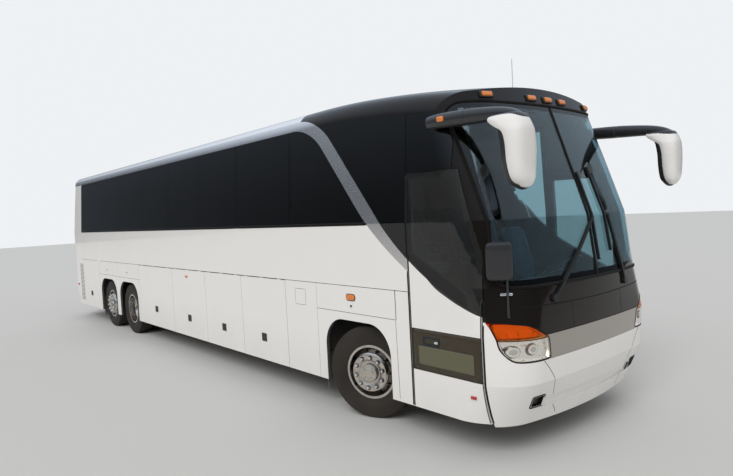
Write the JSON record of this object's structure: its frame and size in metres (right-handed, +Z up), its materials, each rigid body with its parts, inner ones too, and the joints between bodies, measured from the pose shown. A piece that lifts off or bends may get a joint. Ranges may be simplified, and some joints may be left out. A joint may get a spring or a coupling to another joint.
{
  "type": "coach bus",
  "caption": "Long touring coach on three axles with a raised deck, tinted side glass, sweeping bright strip, opening luggage doors and hanging front mirrors.",
  "frame": {"origin": "on the ground, under the middle of the whole outline", "axes": "+X to the front of the coach, +Y to its left side, +Z up"},
  "size_m": [13.9424, 3.0814, 3.8119],
  "materials": {
    "body_paint": "gloss",
    "door_paint": "gloss",
    "black_paint": "gloss",
    "roof_paint": "gloss",
    "band_paint": "metallic gloss",
    "strip_metal": "polished",
    "tinted_glass": "tinted",
    "clear_glass": "clear",
    "lamp_glass": "clear",
    "lamp_bowl": "bright",
    "red_lamp": "gloss",
    "amber_lamp": "gloss",
    "tyre_rubber": "matte",
    "wheel_alloy": "polished",
    "chassis_steel": "satin",
    "forged_steel": "satin",
    "engine_iron": "matte",
    "cabin_floor_cover": "matte",
    "dash_plastic": "matte",
    "seat_fabric": "woven"
  },
  "bodies": {
    "coach": {"cabin_floor": "cabin_floor_cover", "dashboard": "dash_plastic", "drive_axle": "forged_steel", "driver_seat": "seat_fabric", "eave_strips": "strip_metal", "engine": "engine_iron", "front_axle": "forged_steel", "front_band": "band_paint", "front_bumper": "body_paint", "front_cap": "black_paint", "front_frame": "chassis_steel", "front_mask": "black_paint", "headlamps": "lamp_glass", "lamp_bowls": "lamp_bowl", "left_side_wall": "body_paint", "left_skirt": "body_paint", "marker_lamps": "amber_lamp", "mirrors": "black_paint", "passenger_seats": "seat_fabric", "right_side_wall": "body_paint", "right_skirt": "body_paint", "roof": "roof_paint", "roof_fittings": "roof_paint", "side_glass": "tinted_glass", "steering_wheel": "dash_plastic", "tag_axle": "forged_steel", "tail_bumper": "body_paint", "tail_lamps": "red_lamp", "tail_wall": "body_paint", "tail_window": "tinted_glass", "underframe": "chassis_steel", "windscreen": "clear_glass", "wipers": "dash_plastic"},
    "track_rod": {"track_rod": "forged_steel"},
    "door_column": {"door_column": "forged_steel"},
    "entry_door": {"entry_door": "door_paint", "entry_door_glass": "tinted_glass"},
    "engine_lid": {"engine_lid": "body_paint"},
    "left_knuckle": {"left_knuckle": "forged_steel"},
    "front_left_wheel": {"front_left_rim": "wheel_alloy", "front_left_tyre": "tyre_rubber"},
    "drive_left_wheel": {"drive_left_rim": "wheel_alloy", "drive_left_tyre": "tyre_rubber"},
    "tag_left_wheel": {"tag_left_rim": "wheel_alloy", "tag_left_tyre": "tyre_rubber"},
    "left_luggage_door_1": {"left_luggage_door_1": "body_paint"},
    "left_luggage_door_2": {"left_luggage_door_2": "body_paint"},
    "left_luggage_door_3": {"left_luggage_door_3": "body_paint"},
    "left_luggage_door_4": {"left_luggage_door_4": "body_paint"},
    "right_knuckle": {"right_knuckle": "forged_steel"},
    "front_right_wheel": {"front_right_rim": "wheel_alloy", "front_right_tyre": "tyre_rubber"},
    "drive_right_wheel": {"drive_right_rim": "wheel_alloy", "drive_right_tyre": "tyre_rubber"},
    "tag_right_wheel": {"tag_right_rim": "wheel_alloy", "tag_right_tyre": "tyre_rubber"},
    "right_luggage_door_1": {"right_luggage_door_1": "body_paint"},
    "right_luggage_door_2": {"right_luggage_door_2": "body_paint"},
    "right_luggage_door_3": {"right_luggage_door_3": "body_paint"},
    "right_luggage_door_4": {"right_luggage_door_4": "body_paint"}
  },
  "joints": [
    {"name": "steer_right", "type": "hinge", "parent": "coach", "child": "right_knuckle", "pos_m": [4.593, -0.9, 0.515], "axis": [0, 0, 1], "range_deg": [-61, 19]},
    {"name": "front_right_spin", "type": "hinge", "parent": "right_knuckle", "child": "front_right_wheel", "pos_m": [4.593, -0.9, 0.515], "axis": [-0.3584, 0.9336, 0], "continuous": true},
    {"name": "drive_right_spin", "type": "hinge", "parent": "coach", "child": "drive_right_wheel", "pos_m": [-2.89, -1.1, 0.515], "axis": [0, 1, 0], "continuous": true},
    {"name": "tag_right_spin", "type": "hinge", "parent": "coach", "child": "tag_right_wheel", "pos_m": [-4.21, -1.1, 0.515], "axis": [0, 1, 0], "continuous": true},
    {"name": "right_luggage_door_1_hinge", "type": "hinge", "parent": "coach", "child": "right_luggage_door_1", "pos_m": [-1.36, -1.2955, 1.4617], "axis": [-1, 0, 0], "range_deg": [0, 90]},
    {"name": "right_luggage_door_2_hinge", "type": "hinge", "parent": "coach", "child": "right_luggage_door_2", "pos_m": [0.149, -1.2955, 1.4617], "axis": [-1, 0, 0], "range_deg": [0, 90]},
    {"name": "right_luggage_door_3_hinge", "type": "hinge", "parent": "coach", "child": "right_luggage_door_3", "pos_m": [1.417, -1.2955, 1.4617], "axis": [-1, 0, 0], "range_deg": [0, 90]},
    {"name": "right_luggage_door_4_hinge", "type": "hinge", "parent": "coach", "child": "right_luggage_door_4", "pos_m": [2.6085, -1.2955, 1.4617], "axis": [-1, 0, 0], "range_deg": [0, 90]},
    {"name": "steer_left", "type": "hinge", "parent": "coach", "child": "left_knuckle", "pos_m": [4.593, 0.9, 0.515], "axis": [0, 0, 1], "range_deg": [-61, 19]},
    {"name": "front_left_spin", "type": "hinge", "parent": "left_knuckle", "child": "front_left_wheel", "pos_m": [4.593, 0.9, 0.515], "axis": [-0.3584, 0.9336, 0], "continuous": true},
    {"name": "drive_left_spin", "type": "hinge", "parent": "coach", "child": "drive_left_wheel", "pos_m": [-2.89, 1.1, 0.515], "axis": [0, 1, 0], "continuous": true},
    {"name": "tag_left_spin", "type": "hinge", "parent": "coach", "child": "tag_left_wheel", "pos_m": [-4.21, 1.1, 0.515], "axis": [0, 1, 0], "continuous": true},
    {"name": "left_luggage_door_1_hinge", "type": "hinge", "parent": "coach", "child": "left_luggage_door_1", "pos_m": [-1.36, 1.2955, 1.4617], "axis": [1, 0, 0], "range_deg": [0, 90]},
    {"name": "left_luggage_door_2_hinge", "type": "hinge", "parent": "coach", "child": "left_luggage_door_2", "pos_m": [0.149, 1.2955, 1.4617], "axis": [1, 0, 0], "range_deg": [0, 90]},
    {"name": "left_luggage_door_3_hinge", "type": "hinge", "parent": "coach", "child": "left_luggage_door_3", "pos_m": [1.417, 1.2955, 1.4617], "axis": [1, 0, 0], "range_deg": [0, 90]},
    {"name": "left_luggage_door_4_hinge", "type": "hinge", "parent": "coach", "child": "left_luggage_door_4", "pos_m": [2.6085, 1.2955, 1.4617], "axis": [1, 0, 0], "range_deg": [0, 90]},
    {"name": "track_rod_hinge", "type": "hinge", "parent": "right_knuckle", "child": "track_rod", "pos_m": [4.43429, -0.96092, 0.4], "axis": [0, 0, 1], "range_deg": [-19, 61]},
    {"name": "door_arm_swing", "type": "hinge", "parent": "coach", "child": "door_column", "pos_m": [6.24, -1.1455, 0.8], "axis": [0, 0, 1], "range_deg": [0, 120]},
    {"name": "door_leaf_swing", "type": "hinge", "parent": "door_column", "child": "entry_door", "pos_m": [5.68, -1.1455, 0.8], "axis": [0, 0, 1], "range_deg": [-120, 0]},
    {"name": "engine_lid_hinge", "type": "hinge", "parent": "coach", "child": "engine_lid", "pos_m": [-6.9622, 0, 1.9837], "axis": [0, 1, 0], "range_deg": [0, 80]}
  ],
  "couplings": [
    {"joint": "steer_left", "follows": "steer_right", "ratio": 1},
    {"joint": "track_rod_hinge", "follows": "steer_right", "ratio": -1},
    {"joint": "door_leaf_swing", "follows": "door_arm_swing", "ratio": -1}
  ]
}
